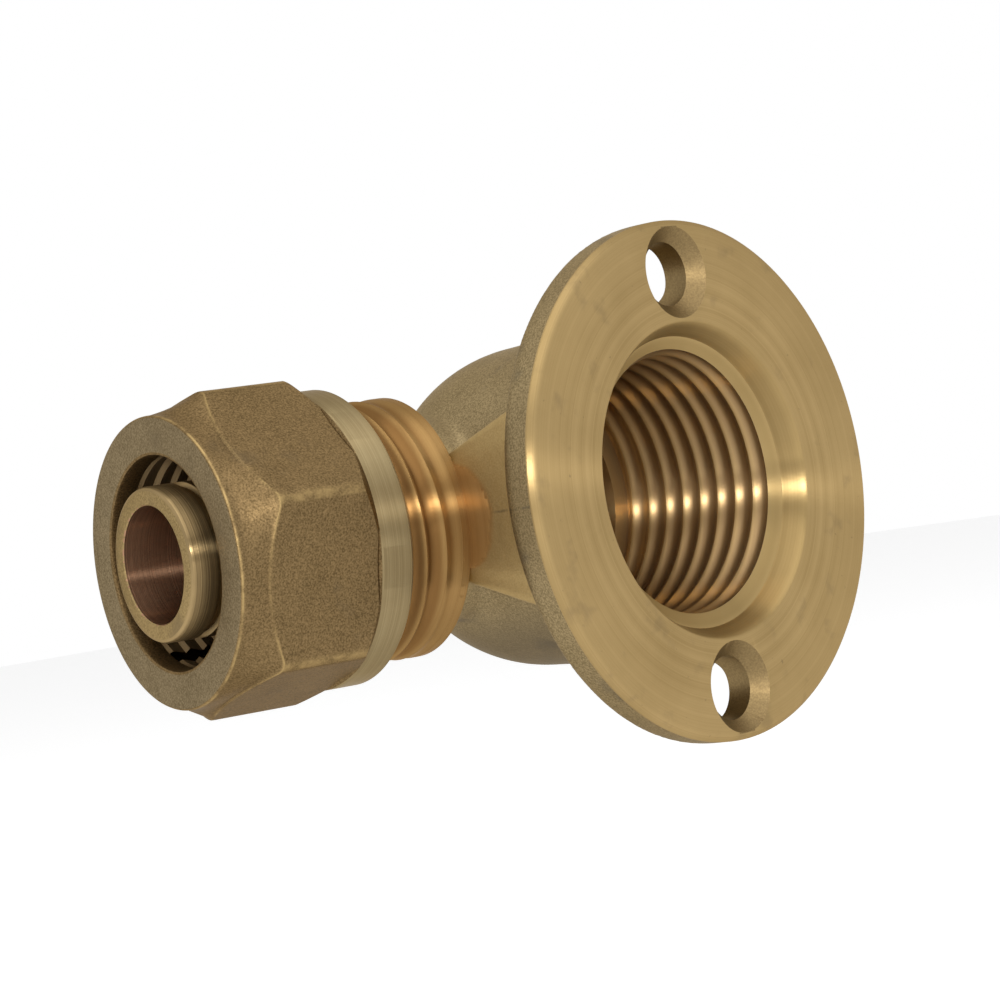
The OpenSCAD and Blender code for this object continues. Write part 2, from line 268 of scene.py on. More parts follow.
def forging():
    """Flange, boss, web and the arm's root as one forging, with the soft blends of a die."""
    blank = flange_blank()
    boolean(blank, boss_blank(), "UNION")
    boolean(blank, web_blank(), "UNION")
    boolean(blank, turned("root", [(CORE, 0.0), (NECK_R, 0.0), (NECK_R, NECK_TO), (CORE, NECK_TO)], ALONG_ARM, 96), "UNION")
    mod = blank.modifiers.new("even", "REMESH")
    mod.mode = "VOXEL"
    mod.voxel_size = FORGING_VOXEL * MM
    soft = blank.modifiers.new("soft", "SMOOTH")
    soft.factor = 0.5
    soft.iterations = FORGING_SOFTENING
    apply_modifiers(blank)
    return blank


def face_cutter():
    """What the lathe takes off the flange's front, down to the face and its chamfer."""
    edge = FLANGE_R - FACE_CHAMFER
    profile = [(CORE, -FLANGE_T - 3 * PAST), (edge + 4, -FLANGE_T - 3 * PAST), (edge + 4, 3.4 - FLANGE_T),
               (edge + 0.42, 0.3 - FLANGE_T), (edge + 0.3, 0.16 - FLANGE_T), (edge + 0.1, 0.05 - FLANGE_T),
               (edge - 0.15, -FLANGE_T), (CORE, -FLANGE_T)]
    return turned("face_cutter", profile, ALONG_PORT, 384)


def cut_port(body):
    """The flared mouth, the thread and the drilled chamber behind it."""
    slope = (MOUTH_R - MOUTH_INNER_R) / MOUTH_DEPTH
    lip = MOUTH_INNER_R - 0.12 - 1.44 * MOUTH_BEVEL_SLOPE
    mouth = [(CORE, -PAST), (MOUTH_R + 0.75, -PAST), (MOUTH_R + 0.28, -0.03), (MOUTH_R + 0.12, 0.03),
             (MOUTH_R, 0.15), (MOUTH_R - slope * 0.5, 0.5), (MOUTH_INNER_R, MOUTH_DEPTH),
             (MOUTH_INNER_R - 0.12, MOUTH_DEPTH + 0.06), (lip, MOUTH_DEPTH + 1.5), (CORE, MOUTH_DEPTH + 1.5)]
    boolean(body, turned("mouth", mouth, ALONG_FACE, 256), "DIFFERENCE")

    def shape(y, depth):
        return PORT_R - PORT_THREAD_H + PORT_THREAD_H * depth ** PORT_THREAD_FLATNESS + 0 * y

    turns = int(PORT_DEPTH / PITCH)
    start = PORT_CREST - PITCH * math.ceil((PORT_CREST - MOUTH_DEPTH + 2 * PITCH) / PITCH)
    tap = threaded("port_thread", start, turns + 4, shape, ALONG_FACE)
    reach = [(CORE, MOUTH_DEPTH / 2), (PORT_R + PAST, MOUTH_DEPTH / 2), (PORT_R + PAST, PORT_DEPTH), (CORE, PORT_DEPTH)]
    boolean(tap, turned("reach", reach, ALONG_FACE, 96), "INTERSECT")
    boolean(body, tap, "DIFFERENCE")
    chamber = [(CORE, 0.0), (CHAMBER_R, 0.0), (CHAMBER_R, CHAMBER_DEPTH - DRILL_SLOPE * CHAMBER_R / 2),
               (CHAMBER_R / 2, CHAMBER_DEPTH), (CORE, CHAMBER_DEPTH)]
    boolean(body, turned("chamber", chamber, ALONG_FACE, 192), "DIFFERENCE")


def shoulder_cutter():
    """What the lathe takes off the web as it turns the collar: a shoulder that leans a little to the boss."""
    out = ARM_R + SHOULDER_H
    profile = [(ARM_R, COLLAR_FROM), (out, COLLAR_FROM - SHOULDER_H * SHOULDER_SLOPE), (out, COLLAR_TO + 2 * PAST),
               (ARM_R, COLLAR_TO + 2 * PAST)]
    return turned("shoulder_cutter", profile, ALONG_ARM, 192, ring=True)


def add_arm(body):
    """The turned neck and collar, and the thread up to the arm's open end."""
    collar = [(CORE, 6.0), (NECK_R, 6.0), (NECK_R, NECK_TO), (ARM_R - 0.15, COLLAR_FROM - 0.15),
              (ARM_R, COLLAR_FROM), (ARM_R, COLLAR_TO - 0.1), (ARM_R - 0.1, COLLAR_TO), (CORE, COLLAR_TO)]
    boolean(body, turned("collar", collar, ALONG_ARM, 192), "UNION")

    def shape(a, depth):
        run_out = np.clip((a - COLLAR_TO + 0.2) / ARM_RUN_OUT, 0.0, 1.0)
        thread = ARM_R - ARM_THREAD_H * depth ** ARM_THREAD_FLATNESS * run_out
        return np.where(a > COLLAR_TO - 0.4, thread, NECK_R - 0.5)

    turns = math.ceil((ARM_END - ARM_CREST) / PITCH)
    arm = threaded("arm_thread", ARM_CREST - 2 * PITCH, turns + 3, shape, ALONG_ARM)
    over = ARM_R + 3 * PAST
    end = [(CORE, ARM_END), (ARM_R - ARM_CHAMFER, ARM_END), (over, ARM_END - (over - ARM_R + ARM_CHAMFER)),
           (over, ARM_END + 6 * PAST), (CORE, ARM_END + 6 * PAST)]
    boolean(arm, turned("arm_end", end, ALONG_ARM, 192), "DIFFERENCE")
    boolean(body, arm, "UNION")


def stem_solid():
    """The stem with its plain nose and the grooves for the seals."""
    groove = STEM_R - NOSE_GROOVE_H
    nose = STEM_END - NOSE_LENGTH
    side = SEAL_GROOVE_W / 2
    points = [(CORE, 4.0), (STEM_R, 4.0)]
    for place in SEAL_PLACES:
        points += [(STEM_R, place - side - 0.05), (SEAL_FLOOR_R, place - side), (SEAL_FLOOR_R, place + side),
                   (STEM_R, place + side + 0.05)]
    points += [(STEM_R, nose - NOSE_GROOVE_W), (groove, nose - NOSE_GROOVE_W + 0.12), (groove, nose - 0.12),
               (STEM_R, nose), (STEM_R, STEM_END - STEM_EDGE), (STEM_R - STEM_EDGE / 3, STEM_END - STEM_EDGE / 3),
               (STEM_R - STEM_EDGE, STEM_END), (CORE, STEM_END)]
    return turned("stem_solid", points, ALONG_ARM, 192)


def bore_profile(radius, start, end, bevel):
    """Profile of a drill that opens at its end, with a bevelled mouth."""
    return [(CORE, start), (radius, start), (radius, end - bevel), (radius + bevel, end),
            (radius + bevel, end + PAST), (CORE, end + PAST)]


def cut_screw_holes(body):
    head = SCREW_HEAD_R - SCREW_R
    hole = [(CORE, -PAST), (SCREW_HEAD_R + 0.1, -PAST), (SCREW_HEAD_R + 0.1, -0.1), (SCREW_HEAD_R, 0.0),
            (SCREW_R, head), (SCREW_R, 3 * FLANGE_T), (CORE, 3 * FLANGE_T)]
    for side in (-1, 1):
        place = Matrix.Translation((0, 0, side * SCREW_PITCH / 2)) @ ALONG_FACE
        boolean(body, turned("screw_hole", hole, place, 96), "DIFFERENCE")


def build_body():
    body = forging()
    boolean(body, face_cutter(), "DIFFERENCE")
    boolean(body, shoulder_cutter(), "DIFFERENCE")
    add_arm(body)
    socket = bore_profile(SOCKET_R, SOCKET_FLOOR, ARM_END, SOCKET_BEVEL)
    boolean(body, turned("socket", socket, ALONG_ARM, 192), "DIFFERENCE")
    boolean(body, stem_solid(), "UNION")
    cut_port(body)
    waterway = bore_profile(WATERWAY_R, 0.0, STEM_END, WATERWAY_CHAMFER)
    boolean(body, turned("waterway", waterway, ALONG_ARM, 160), "DIFFERENCE")
    cut_screw_holes(body)
    body.name = "elbow_body"
    return body


def hexagon(angle):
    """Radius of the nut's hexagon with its rounded corners, at each angle."""
    side = (angle - NUT_TURN) % (math.pi / 3) - math.pi / 6
    corner = math.pi / 6 - np.abs(side)
    # The corner's own circle lies on the corner's line, and touches both flats
    inner = NUT_FLAT_R - NUT_CORNER_ROUND
    centre = inner / math.cos(math.pi / 6)
    flat_end = math.atan2(inner * math.tan(math.pi / 6), NUT_FLAT_R)
    rounded = centre * np.cos(corner) + np.sqrt(np.maximum(NUT_CORNER_ROUND ** 2 - (centre * np.sin(corner)) ** 2, 0))
    return np.where(np.abs(side) < flat_end, NUT_FLAT_R / np.cos(side), rounded)


def build_nut():
    """The forged hexagon with its nose, the turned skirt, and inside them the thread and the ring's room.

    The attribute "wear" marks the ridges, which handling has rubbed bright.
    """
    cols = 360
    angle = np.linspace(0, 2 * np.pi, cols, endpoint=False)
    heights, radii, wear = [], [], []

    def row(height, radius, worn=0.0):
        for values, value in ((heights, height), (radii, radius), (wear, worn)):
            values.append(np.broadcast_to(value, (cols,)).astype(float))

    hexa = hexagon(angle)
    cornered = (hexa - NUT_FLAT_R) / (hexa.max() - NUT_FLAT_R)
    ridge = np.clip((cornered - 0.96) / 0.03, 0, 1) * 0.7
    back = NUT_HEX_FROM + NUT_BEVEL_SLOPE * np.maximum(hexa - NUT_SKIRT_R, 0) + 0.4 * np.maximum(NUT_SKIRT_R - hexa, 0)
    nose = NUT_NOSE_AT_FLATS + (NUT_NOSE_AT_CORNERS - NUT_NOSE_AT_FLATS) * cornered
    edge = NUT_FRONT - NUT_EDGE
    for height, radius in ((NUT_SKIRT_FROM, NUT_BORE_R + 0.4), (NUT_SKIRT_FROM, NUT_SKIRT_R - NUT_SKIRT_BEVEL),
                           (NUT_SKIRT_FROM + NUT_SKIRT_BEVEL, NUT_SKIRT_R), (NUT_HEX_FROM - 0.12, NUT_SKIRT_R)):
        row(height, radius)
    row(NUT_HEX_FROM, np.minimum(hexa, NUT_SKIRT_R) * 0.3 + NUT_SKIRT_R * 0.7)
    row(back + 0.04, hexa - 0.06)
    row(back + 0.16, hexa, ridge)
    for t in np.linspace(0.04, 0.94, 12):
        row(back + (nose - back) * t, hexa, ridge)
    row(nose - 0.14, hexa, ridge)
    row(nose, hexa - 0.02, 0.25 + 0.75 * cornered)
    row(nose + 0.12, hexa - NUT_NOSE_STEP, 0.1)
    for t in (0.1, 0.25, 0.45, 0.65, 0.82, 0.9):
        share = min(t / 0.85, 1.0)
        row(nose + (edge - nose) * t, (hexa - NUT_NOSE_STEP) * (1 - share) + NUT_FACE_R * share)
    row(edge, NUT_FACE_R, 0.15)
    for lift, drop, worn in ((0.45, 0.03, 1.0), (0.8, 0.12, 0.6), (1.0, 0.3, 0.0)):
        row(edge + NUT_EDGE * lift, NUT_FACE_R - drop * NUT_EDGE * 2, worn)
    for height, radius in ((NUT_FRONT, PIPE_HOLE_R + NUT_EDGE), (NUT_FRONT - 0.07, PIPE_HOLE_R + 0.07),
                           (NUT_FRONT - NUT_EDGE, PIPE_HOLE_R), (PIPE_HOLE_FROM, PIPE_HOLE_R),
                           (PIPE_HOLE_FROM, RING_ROOM_END_R), (RING_ROOM_TO, RING_ROOM_R),
                           (NUT_BORE_TO + 0.4, RING_ROOM_R)):
        row(height, radius)
    for height in np.arange(NUT_BORE_TO, NUT_SKIRT_FROM + 0.4, -0.09):
        turn = (height - ARM_CREST) / PITCH - angle / (2 * np.pi)
        depth = np.interp(turn % 1.0, *np.array(THREAD_FORM + ((1.0, 0.0),)).T)
        fade = min(1.0, (NUT_BORE_TO - height) / 0.8, (height - NUT_SKIRT_FROM) / 0.9)
        row(height, NUT_BORE_R - fade * depth * (ARM_THREAD_H - 0.1))
    nut = solid_of_rows("compression_nut", np.array(heights), np.array(radii), ALONG_ARM, ring=True)
    nut.data.attributes.new("wear", "FLOAT", "POINT").data.foreach_set("value", np.ravel(wear))
    return nut


def shade_smooth(obj, degrees=32):
    for poly in obj.data.polygons:
        poly.use_smooth = True
    obj.data.set_sharp_from_angle(angle=math.radians(degrees))


# Materials. A surface on the lathe is described by where it lies along, out from and round its axis

PORT_TURNING = ((0, 0, 0), (0, 1, 0))
ARM_TURNING = ((0, AXIS_Y, 0), tuple(ARM_AXIS))


SHOULDER_COLOUR = (0.42, 0.245, 0.09)
# Oxide keeps the metals from turning white where they are seen at a flat angle
EDGE_TINT = (0.62, 0.56, 0.5)


class Graph:
    """Short calls that add nodes to one material. A number, colour or socket may stand for any input."""

    def __init__(self, name):
        self.material = bpy.data.materials.new(name)
        self.material.use_nodes = True
        self.tree = self.material.node_tree
        self.shader = self.tree.nodes["Principled BSDF"]

    def put(self, socket, value):
        if isinstance(value, bpy.types.NodeSocket):
            self.tree.links.new(value, socket)
        elif isinstance(value, (tuple, list)) and socket.type == "RGBA":
            socket.default_value = (*value[:3], 1)
        else:
            socket.default_value = value

    def add(self, kind, *inputs, **settings):
        node = self.tree.nodes.new("ShaderNode" + kind)
        for name, value in settings.items():
            setattr(node, name, value)
        for index, value in enumerate(inputs):
            if value is not None:
                self.put(node.inputs[index], value)
        return node

    def math(self, operation, a, b=None, clamp=False):
        return self.add("Math", a, b, operation=operation, use_clamp=clamp).outputs[0]

    def vector(self, operation, a, b=None):
        node = self.add("VectorMath", a, b, operation=operation)
        return node.outputs["Value" if operation in ("DOT_PRODUCT", "LENGTH") else "Vector"]

    def stretched(self, vector, factor):
        node = self.add("VectorMath", vector, operation="SCALE")
        self.put(node.inputs["Scale"], factor)
        return node.outputs["Vector"]

    def noise(self, place, scale, detail=2.0, lines=False):
        """Noise with features of about 1 / scale millimetres, along a line or in space."""
        node = self.tree.nodes.new("ShaderNodeTexNoise")
        node.noise_dimensions = "1D" if lines else "3D"
        self.put(node.inputs["W" if lines else "Vector"], place)
        node.inputs["Scale"].default_value = scale
        node.inputs["Detail"].default_value = detail
        return node.outputs["Fac"]

    def step(self, value, start, end):
        """0 below start, 1 above end, and smooth in between."""
        node = self.tree.nodes.new("ShaderNodeMapRange")
        node.interpolation_type = "SMOOTHSTEP"
        self.put(node.inputs["Value"], value)
        node.inputs["From Min"].default_value = start
        node.inputs["From Max"].default_value = end
        return node.outputs["Result"]

    def mix(self, factor, a, b):
        node = self.tree.nodes.new("ShaderNodeMix")
        node.data_type = "RGBA"
        self.put(node.inputs["Factor"], factor)
        self.put(node.inputs[6], a)
        self.put(node.inputs[7], b)
        return node.outputs[2]

    def ramp(self, factor, *stops):
        node = self.add("ValToRGB", factor)
        elements = node.color_ramp.elements
        while len(elements) < len(stops):
            elements.new(0.5)
        for element, (place, colour) in zip(elements, stops):
            element.position = place
            element.color = (*colour, 1)
        return node.outputs[0]

    def bump(self, height, depth_mm, below=None):
        node = self.add("Bump")
        node.inputs["Distance"].default_value = depth_mm * MM
        self.put(node.inputs["Height"], height)
        if below is not None:
            self.put(node.inputs["Normal"], below)
        return node.outputs[0]

    def place(self):
        """The shaded point in millimetres, in the part's frame at rest."""
        return self.stretched(self.add("TexCoord").outputs["Object"], 1 / MM)

    def turning(self, origin, axis):
        """Along, out from and round an axis: two numbers and a direction."""
        rel = self.vector("SUBTRACT", self.place(), origin)
        along = self.vector("DOT_PRODUCT", rel, axis)
        out = self.vector("SUBTRACT", rel, self.stretched(axis, along))
        round_it = self.vector("NORMALIZE", self.vector("CROSS_PRODUCT", axis, out))
        return along, self.vector("LENGTH", out), round_it

    def finish(self, colour, rough, normal=None):
        self.shader.inputs["Metallic"].default_value = 1.0
        self.shader.inputs["Specular Tint"].default_value = (*EDGE_TINT, 1)
        self.put(self.shader.inputs["Base Color"], colour)
        self.put(self.shader.inputs["Roughness"], rough)
        if normal is not None:
            self.put(self.shader.inputs["Normal"], normal)
        return self.material


def lathe_finish(name, turning, dark, light, rough=0.3, line_depth=0.004, tarnish=None, streak=0.5, groove_shade=None):
    """Turned brass: fine lines round the axis, in tone and in relief, clouds of tarnish, and painted shade in a
    thread's grooves.

    groove_shade holds the radius where the painted shade in a thread's grooves starts, the radius where it is full, and
    its colour: a darker tone painted into the roots for the dark reflections there.
    """
    g = Graph(name)
    along, out, round_it = g.turning(*turning)
    line = g.math("ADD", along, g.math("MULTIPLY", out, 0.83))
    fine = g.noise(line, 9.0, 2.0, lines=True)
    broad = g.noise(line, 1.6, 1.0, lines=True)
    lines = g.math("ADD", g.math("MULTIPLY", fine, streak), g.math("MULTIPLY", broad, 1 - streak))
    cloud = g.noise(g.place(), 0.16, 3.0)
    tone = g.math("ADD", g.math("MULTIPLY", lines, 0.55), g.math("MULTIPLY", cloud, 0.45))
    colour = g.ramp(tone, (0.32, dark), (0.66, light))
    if groove_shade:
        # Painted shade: the thread's roots are darkened towards the given colour, for the dark reflections in the
        # grooves
        crest, root, groove_shade_colour = groove_shade
        deep = g.step(g.math("SUBTRACT", out, crest), 0.0, abs(root - crest))
        if root < crest:
            deep = g.step(g.math("SUBTRACT", crest, out), 0.0, crest - root)
        colour = g.mix(g.math("MULTIPLY", deep, 0.85), colour, groove_shade_colour)
    if tarnish:
        colour = g.mix(g.math("MULTIPLY", g.step(g.noise(g.place(), 0.45, 4.0), 0.58, 0.76), 0.4), colour, tarnish)
        colour = g.mix(g.math("MULTIPLY", g.step(g.noise(g.place(), 1.9, 6.0), 0.68, 0.74), 0.6), colour, tarnish)
    relief = g.bump(fine, line_depth, g.bump(g.noise(g.place(), 3.0, 2.0), line_depth * 0.5))
    g.shader.inputs["Anisotropic"].default_value = 0.95
    g.shader.inputs["Anisotropic Rotation"].default_value = ANISO_TURN
    to_world = g.add("VectorTransform", round_it, vector_type="VECTOR", convert_from="OBJECT", convert_to="WORLD")
    g.put(g.shader.inputs["Tangent"], to_world.outputs[0])
    return g.finish(colour, rough, relief)


ANISO_TURN = 0.25


def blasted_finish(name, dark, light, stain_and_shade, rough=0.5, grain=7.0, depth=0.016, stain_from=0.55, worn=None,
                   web=None):
    """Forged brass after blasting: an even fine grain, brighter on its crests, with darker clouds and worn ridges."""
    g = Graph(name)
    place = g.place()
    pits = g.noise(place, grain, 3.0)
    tone = g.math("ADD", g.math("MULTIPLY", pits, 0.85), g.math("MULTIPLY", g.noise(place, 0.35, 3.0), 0.15))
    colour = g.ramp(tone, (0.36, dark), (0.64, light))
    colour = g.mix(g.math("MULTIPLY", g.step(g.noise(place, 0.22, 4.0), stain_from, stain_from + 0.18), 0.7), colour, stain_and_shade)
    if web:
        # Painted light makes the web's outer face paler, painted shade makes the boss darker underneath, and the die's
        # parting line runs round the middle
        across, depth_in, height = (g.vector("DOT_PRODUCT", place, axis) for axis in ((-1, 0, 0), (0, 1, 0), (0, 0, 1)))
        behind = g.step(depth_in, 0.3, 2.0)
        # Painted light: the web's outer face is made paler
        painted_web_light = g.math("MULTIPLY", behind, g.step(across, 12.6, 15.8))
        colour = g.mix(g.math("MULTIPLY", painted_web_light, 0.62), colour, web)
        # Painted shade: the boss is darker underneath, in the colour that also serves the real stains
        painted_shade_below = g.math("MULTIPLY", behind, g.step(g.math("MULTIPLY", height, -1.0), 6.0, 11.0))
        colour = g.mix(g.math("MULTIPLY", painted_shade_below, 0.6), colour, stain_and_shade)
        near = g.math("SUBTRACT", 1.0, g.step(g.math("ABSOLUTE", height), 0.02, 0.16))
        line = g.math("MULTIPLY", near, g.step(g.noise(place, 0.9, 2.0), 0.4, 0.6))
        colour = g.mix(g.math("MULTIPLY", line, 0.6), colour, stain_and_shade)
        # The turned shoulder ends softly in the web
        along, out, _ = g.turning(*ARM_TURNING)
        lift = g.math("ADD", along, g.math("MULTIPLY", out, SHOULDER_SLOPE))
        level = COLLAR_FROM + ARM_R * SHOULDER_SLOPE
        touched = g.math("MULTIPLY", behind, g.step(lift, level - 0.14, level - 0.01))
        colour = g.mix(touched, colour, SHOULDER_COLOUR)
    if worn:
        wear = g.add("Attribute", attribute_name="wear").outputs["Fac"]
        rubbed = g.math("MULTIPLY", wear, g.step(g.noise(place, 0.8, 5.0), 0.28, 0.6))
        colour = g.mix(g.math("MULTIPLY", rubbed, 0.8), colour, worn)
        rough = g.math("SUBTRACT", rough, g.math("MULTIPLY", rubbed, 0.1))
    relief = g.bump(pits, depth, g.bump(g.noise(place, 1.1, 2.0), depth * 1.6))
    return g.finish(colour, rough, relief)


def bare_finish(name, colour, speck, rough, depth):
    """Rubber and plastic: one tone with faint clouds and a fine orange-peel relief."""
    g = Graph(name)
    shade = g.ramp(g.noise(g.place(), 1.5, 3.0), (0.3, speck), (0.7, colour))
    material = g.finish(shade, rough, g.bump(g.noise(g.place(), 6.0, 2.0), depth))
    g.shader.inputs["Metallic"].default_value = 0.0
    g.shader.inputs["Specular Tint"].default_value = (1, 1, 1, 1)
    return material


def body_regions(mesh):
    """For each face of the body the index of its finish, from where the face lies on the two axes."""
    count = len(mesh.polygons)
    centre = np.empty(count * 3)
    normal = np.empty(count * 3)
    mesh.polygons.foreach_get("center", centre)
    mesh.polygons.foreach_get("normal", normal)
    x, y, z = centre.reshape(-1, 3).T / MM
    port_out = np.hypot(x, z)
    rel = np.stack([x, y - AXIS_Y, z])
    along = np.array(ARM_AXIS) @ rel
    arm_out = np.linalg.norm(rel - np.outer(ARM_AXIS, along), axis=0)
    screw_out = np.minimum(np.hypot(x, z - SCREW_PITCH / 2), np.hypot(x, z + SCREW_PITCH / 2))
    deep = y + FLANGE_T
    shoulder = np.abs(along - COLLAR_FROM + (arm_out - ARM_R) * SHOULDER_SLOPE)
    region = np.zeros(count, int)
    region[(deep < FACE_CHAMFER + 0.02) & (port_out < FLANGE_R + 0.1)] = 1
    region[(screw_out < SCREW_HEAD_R + 0.02) & (deep > 0.02) & (deep < SCREW_HEAD_R - SCREW_R)] = 7
    region[(screw_out < SCREW_R + 0.03) & (deep < FLANGE_T)] = 7
    region[(port_out < MOUTH_R + 0.11) & (deep > 0.01) & (deep < MOUTH_DEPTH + 0.05)] = 9
    region[(port_out < PORT_R + 0.05) & (deep > MOUTH_DEPTH + 0.05) & (deep < CHAMBER_DEPTH + 0.05)] = 2
    bevel = np.abs(MOUTH_INNER_R - 0.12 - port_out - (deep - MOUTH_DEPTH - 0.06) * MOUTH_BEVEL_SLOPE)
    region[(bevel < 0.02) & (port_out > PORT_R - PORT_THREAD_H) & (deep > MOUTH_DEPTH)] = 9
    region[(shoulder < 0.03) & (arm_out > ARM_R - 0.1) & (arm_out < ARM_R + SHOULDER_H + 0.1)] = 10
    region[(along > COLLAR_FROM + 0.02) & (arm_out < ARM_R + 0.1)] = 3
    region[(along > SOCKET_FLOOR - 0.2) & (arm_out < SOCKET_R + 0.1)] = 4
    region[(along > SOCKET_FLOOR - 0.2) & (arm_out < STEM_R + 0.1)] = 5
    region[(along > STEM_END - 0.04) & (arm_out < STEM_R + 0.1)] = 8
    region[(along > CHAMBER_R) & (arm_out < WATERWAY_R + 0.05)] = 6
    return region


BODY_FINISHES = (
    lambda: blasted_finish("forged_body", (0.195, 0.145, 0.072), (0.36, 0.272, 0.142), (0.13, 0.108, 0.075),
                           stain_from=0.6, web=(0.52, 0.365, 0.15)),
    lambda: lathe_finish("turned_face", PORT_TURNING, (0.35, 0.24, 0.1), (0.45, 0.315, 0.14), rough=0.38,
                         tarnish=(0.24, 0.17, 0.085)),
    lambda: lathe_finish("port_thread", PORT_TURNING, (0.37, 0.248, 0.113), (0.505, 0.345, 0.158), rough=0.32,
                         groove_shade=(10.12, 10.36, (0.37, 0.245, 0.122))),
    lambda: lathe_finish("arm_thread", ARM_TURNING, (0.26, 0.145, 0.05), (0.38, 0.23, 0.085), rough=0.38,
                         groove_shade=(10.14, 9.85, (0.22, 0.112, 0.036))),
    # Painted shade: the socket's bore is given greyish colours in place of brass, for the shade seen inside the nut's
    # hole
    lambda: lathe_finish("socket", ARM_TURNING, (0.2, 0.16, 0.12), (0.36, 0.29, 0.2), rough=0.4),
    lambda: lathe_finish("stem", ARM_TURNING, (0.14, 0.1, 0.048), (0.46, 0.325, 0.155), rough=0.3, line_depth=0.012,
                         streak=0.85),
    lambda: lathe_finish("waterway", ARM_TURNING, (0.25, 0.138, 0.08), (0.5, 0.288, 0.17), rough=0.3, line_depth=0.012,
                         streak=0.8),
    lambda: blasted_finish("screw_seat", (0.2, 0.138, 0.063), (0.27, 0.19, 0.086), (0.2, 0.14, 0.07), rough=0.46,
                           depth=0.004),
    lambda: blasted_finish("stem_end", (0.22, 0.155, 0.068), (0.38, 0.272, 0.122), (0.2, 0.145, 0.075), rough=0.4,
                           depth=0.014),
    lambda: lathe_finish("mouth", PORT_TURNING, (0.33, 0.228, 0.094), (0.41, 0.288, 0.124), rough=0.34),
    lambda: lathe_finish("shoulder", ARM_TURNING, (0.36, 0.2, 0.07), (0.48, 0.285, 0.105), rough=0.38),
)
NUT_FINISHES = (
    lambda: blasted_finish("forged_nut", (0.118, 0.077, 0.033), (0.25, 0.166, 0.075), (0.12, 0.086, 0.048), rough=0.48,
                           stain_from=0.6, worn=(0.46, 0.32, 0.135)),
    lambda: lathe_finish("skirt", ARM_TURNING, (0.25, 0.185, 0.092), (0.36, 0.28, 0.148), rough=0.36, line_depth=0.006),
    # Painted shade: the nut's inside is given a dark blue-grey for the shade in its hole, in place of its brass colour
    lambda: lathe_finish("nut_inside_painted_shade", ARM_TURNING, (0.09, 0.09, 0.115), (0.18, 0.17, 0.19), rough=0.42),
    lambda: blasted_finish("nut_face", (0.15, 0.112, 0.06), (0.285, 0.22, 0.127), (0.13, 0.1, 0.06), rough=0.48,
                           stain_from=0.6, worn=(0.46, 0.32, 0.135)),
)


def dress(obj, finishes, region):
    obj.data.materials.clear()
    for make in finishes:
        obj.data.materials.append(make())
    obj.data.polygons.foreach_set("material_index", region.astype(np.int32))


def nut_regions(mesh):
    count = len(mesh.polygons)
    centre = np.empty(count * 3)
    mesh.polygons.foreach_get("center", centre)
    rel = centre.reshape(-1, 3).T / MM - np.array([[0], [AXIS_Y], [0]])
    along = np.array(ARM_AXIS) @ rel
    out = np.linalg.norm(rel - np.outer(ARM_AXIS, along), axis=0)
    region = np.zeros(count, int)
    region[(along < NUT_HEX_FROM + 0.02) & (out < NUT_SKIRT_R + 0.05)] = 1
    region[(out < NUT_BORE_R + 0.45) & (along < PIPE_HOLE_FROM + 0.1) & (along > NUT_SKIRT_FROM + 0.05)] = 2
    region[along > NUT_FRONT - 0.01] = 3
    return region


def restyle(node, material):
    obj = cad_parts[node]
    obj.data.materials.clear()
    obj.data.materials.append(material)


body = build_body()
shade_smooth(body)
dress(body, BODY_FINISHES, body_regions(body.data))
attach(body, "fitting")
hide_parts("body")

nut = build_nut()
shade_smooth(nut, 24)
dress(nut, NUT_FINISHES, nut_regions(nut.data))
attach(nut, "nut")
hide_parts("nut")

restyle("split_ring", lathe_finish("ring_look", ARM_TURNING, (0.14, 0.097, 0.052), (0.31, 0.213, 0.104), rough=0.38))
rubber = bare_finish("seal_look", (0.03, 0.03, 0.03), (0.015, 0.015, 0.015), 0.6, 0.01)
restyle("o_ring_outer", rubber)
restyle("o_ring_inner", rubber)
restyle("insulating_washer", bare_finish("washer_look", (0.72, 0.72, 0.7), (0.62, 0.62, 0.59), 0.5, 0.008))


# Camera, light and floor

CAMERA_TARGET = (-24.035, -FLANGE_T, 0.812)
CAMERA_AZIMUTH = math.radians(-47.8)
CAMERA_ELEVATION = math.radians(-0.223)
CAMERA_ROLL = math.radians(8.862)
CAMERA_DISTANCE = 257.632
PIXELS_PER_MM = 13.847
SENSOR = 36.0
PICTURE = 1000.0
FLOOR_Z = -45.0


def make_camera():
    level = Vector((math.cos(CAMERA_AZIMUTH), math.sin(CAMERA_AZIMUTH), 0.0))
    back = Vector((math.sin(CAMERA_AZIMUTH) * math.cos(CAMERA_ELEVATION),
                   -math.cos(CAMERA_AZIMUTH) * math.cos(CAMERA_ELEVATION), math.sin(CAMERA_ELEVATION)))
    up = back.cross(level)
    right = level * math.cos(CAMERA_ROLL) - up * math.sin(CAMERA_ROLL)
    top = level * math.sin(CAMERA_ROLL) + up * math.cos(CAMERA_ROLL)
    data = bpy.data.cameras.new("camera")
    data.sensor_width = SENSOR
    data.lens = SENSOR * PIXELS_PER_MM * CAMERA_DISTANCE / PICTURE
    data.clip_start = 0.01
    data.clip_end = 20.0
    camera = bpy.data.objects.new("camera", data)
    bpy.context.scene.collection.objects.link(camera)
    turn = Matrix((right, top, back)).transposed().to_4x4()
    camera.matrix_world = Matrix.Translation((Vector(CAMERA_TARGET) + back * CAMERA_DISTANCE) * MM) @ turn
    bpy.context.scene.camera = camera


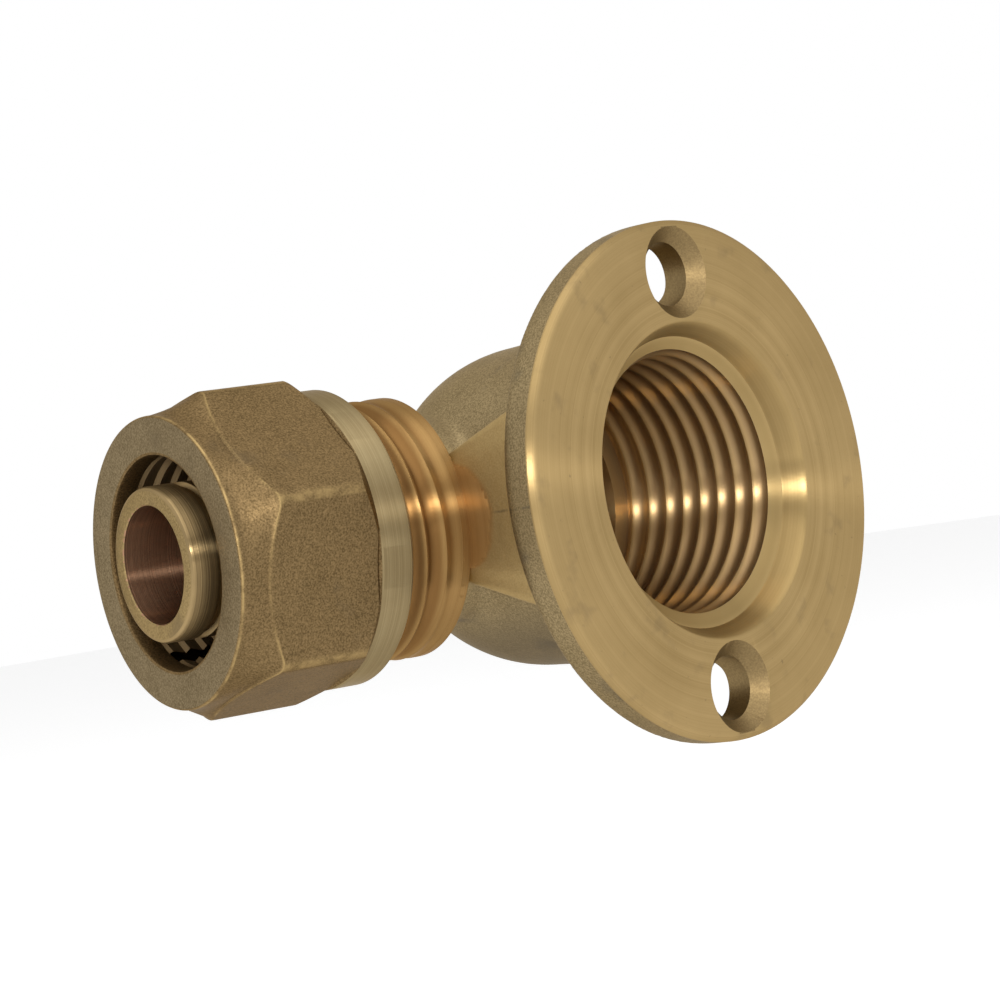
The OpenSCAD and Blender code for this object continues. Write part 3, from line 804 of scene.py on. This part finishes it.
def area_light(name, azimuth, elevation, distance, size, power, target=(-0.012, 0.006, 0.0)):
    """A soft box that looks at the part from a direction in degrees: azimuth 0 looks along +Y."""
    a, e = math.radians(azimuth), math.radians(elevation)
    back = Vector((math.sin(a) * math.cos(e), -math.cos(a) * math.cos(e), math.sin(e)))
    data = bpy.data.lights.new(name, "AREA")
    data.shape = "RECTANGLE"
    data.size, data.size_y = size
    data.energy = power
    light = bpy.data.objects.new(name, data)
    bpy.context.scene.collection.objects.link(light)
    light.location = Vector(target) + back * distance
    light.rotation_euler = back.to_track_quat("Z", "Y").to_euler()


def seen_white(nodes, links, plain, white):
    """Mixes two colours by whether the eye, a reflection or glass looks at them."""
    path = nodes.new("ShaderNodeLightPath")
    seen = path.outputs["Is Camera Ray"]
    for name in ("Is Glossy Ray", "Is Transmission Ray"):
        either = nodes.new("ShaderNodeMath")
        either.operation = "MAXIMUM"
        links.new(seen, either.inputs[0])
        links.new(path.outputs[name], either.inputs[1])
        seen = either.outputs[0]
    mix = nodes.new("ShaderNodeMix")
    mix.data_type = "RGBA"
    mix.inputs[6].default_value = (*plain, 1)
    mix.inputs[7].default_value = (*white, 1)
    links.new(seen, mix.inputs["Factor"])
    return mix.outputs[2]


def make_world():
    world = bpy.data.worlds.new("studio")
    bpy.context.scene.world = world
    world.use_nodes = True
    nodes, links = world.node_tree.nodes, world.node_tree.links
    links.new(seen_white(nodes, links, (0.55, 0.55, 0.55), (1, 1, 1)), nodes["Background"].inputs["Color"])


def make_floor():
    half = 1500
    verts = [(-half, -half, FLOOR_Z), (half, -half, FLOOR_Z), (half, half, FLOOR_Z), (-half, half, FLOOR_Z)]
    floor = new_object("floor", verts, [(0, 1, 2, 3)])
    g = Graph("floor_paint")
    g.shader.inputs["Base Color"].default_value = (0.9, 0.9, 0.9, 1)
    g.shader.inputs["Roughness"].default_value = 1.0
    glow = seen_white(g.tree.nodes, g.tree.links, (0, 0, 0), (0.385, 0.385, 0.385))
    g.put(g.shader.inputs["Emission Color"], glow)
    g.shader.inputs["Emission Strength"].default_value = 1.0
    floor.data.materials.append(g.material)


make_camera()
make_world()
make_floor()
area_light("key", -48, 12, 0.7, (0.05, 0.05), 1.7)
area_light("top", -40, 65, 0.7, (0.9, 0.9), 2.5)

bpy.context.scene.view_settings.view_transform = "Standard"
